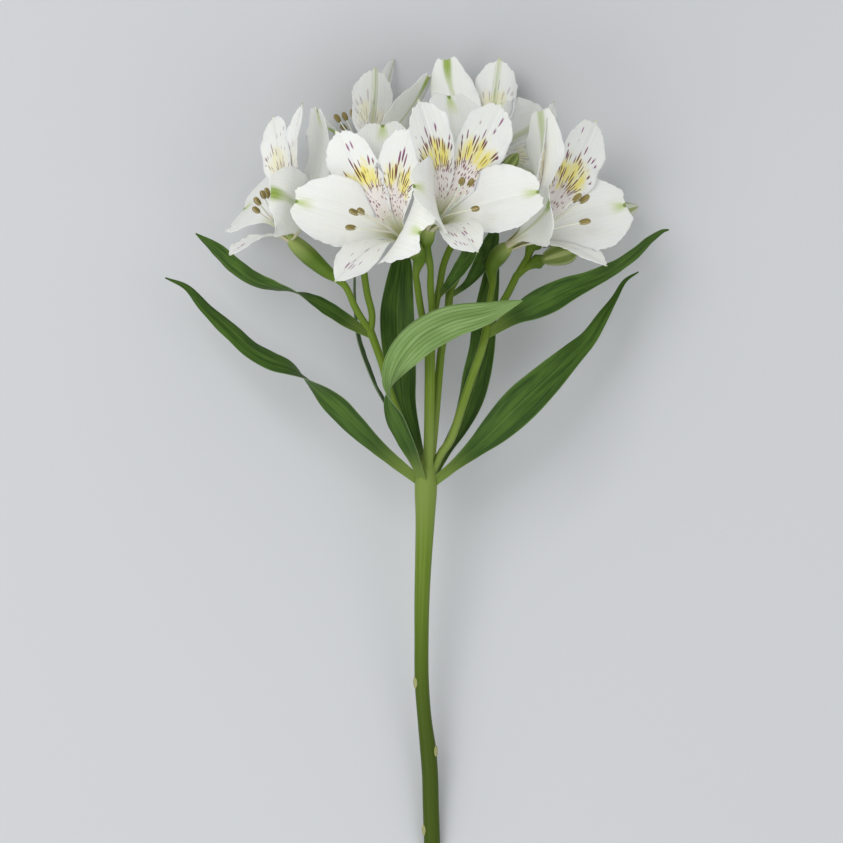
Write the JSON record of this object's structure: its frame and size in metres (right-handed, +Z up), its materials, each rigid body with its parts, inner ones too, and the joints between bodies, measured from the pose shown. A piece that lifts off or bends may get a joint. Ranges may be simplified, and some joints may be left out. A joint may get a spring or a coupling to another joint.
{
  "type": "alstroemeria flower",
  "caption": "Cut stem of an alstroemeria lying on its side, with a leafy node, slender rays, white open blooms with marked inner tepals, and closed buds.",
  "frame": {"origin": "on the surface that the cut stem lies on, under the middle of its bounding box", "axes": "+Y from the cut end to the flowers, +Z up, +X to the right as seen from above with the flowers away from the viewer"},
  "size_m": [0.2034, 0.3222, 0.1049],
  "materials": {
    "stem": "satin",
    "tepal": "satin",
    "stamen": "matte",
    "bud": "satin",
    "leaf": "satin"
  },
  "bodies": {
    "root": {"stem": "stem", "bloom_left_tepals": "tepal", "bloom_front_left_tepals": "tepal", "bloom_front_right_tepals": "tepal", "bloom_right_tepals": "tepal", "bloom_back_left_tepals": "tepal", "bloom_back_right_tepals": "tepal", "bloom_left_stamens": "stamen", "bloom_front_left_stamens": "stamen", "bloom_front_right_stamens": "stamen", "bloom_right_stamens": "stamen", "bloom_back_left_stamens": "stamen", "bloom_back_right_stamens": "stamen", "bud_right": "bud", "bud_back": "bud", "bud_small": "bud", "leaf_lower_left": "leaf", "leaf_lower_right": "leaf", "leaf_folded": "leaf", "leaf_upper_left": "leaf", "leaf_upper_right": "leaf", "leaf_back_left": "leaf", "leaf_back_right": "leaf", "leaf_thin": "leaf", "bract_middle": "leaf", "bract_right": "leaf"}
  },
  "joints": []
}
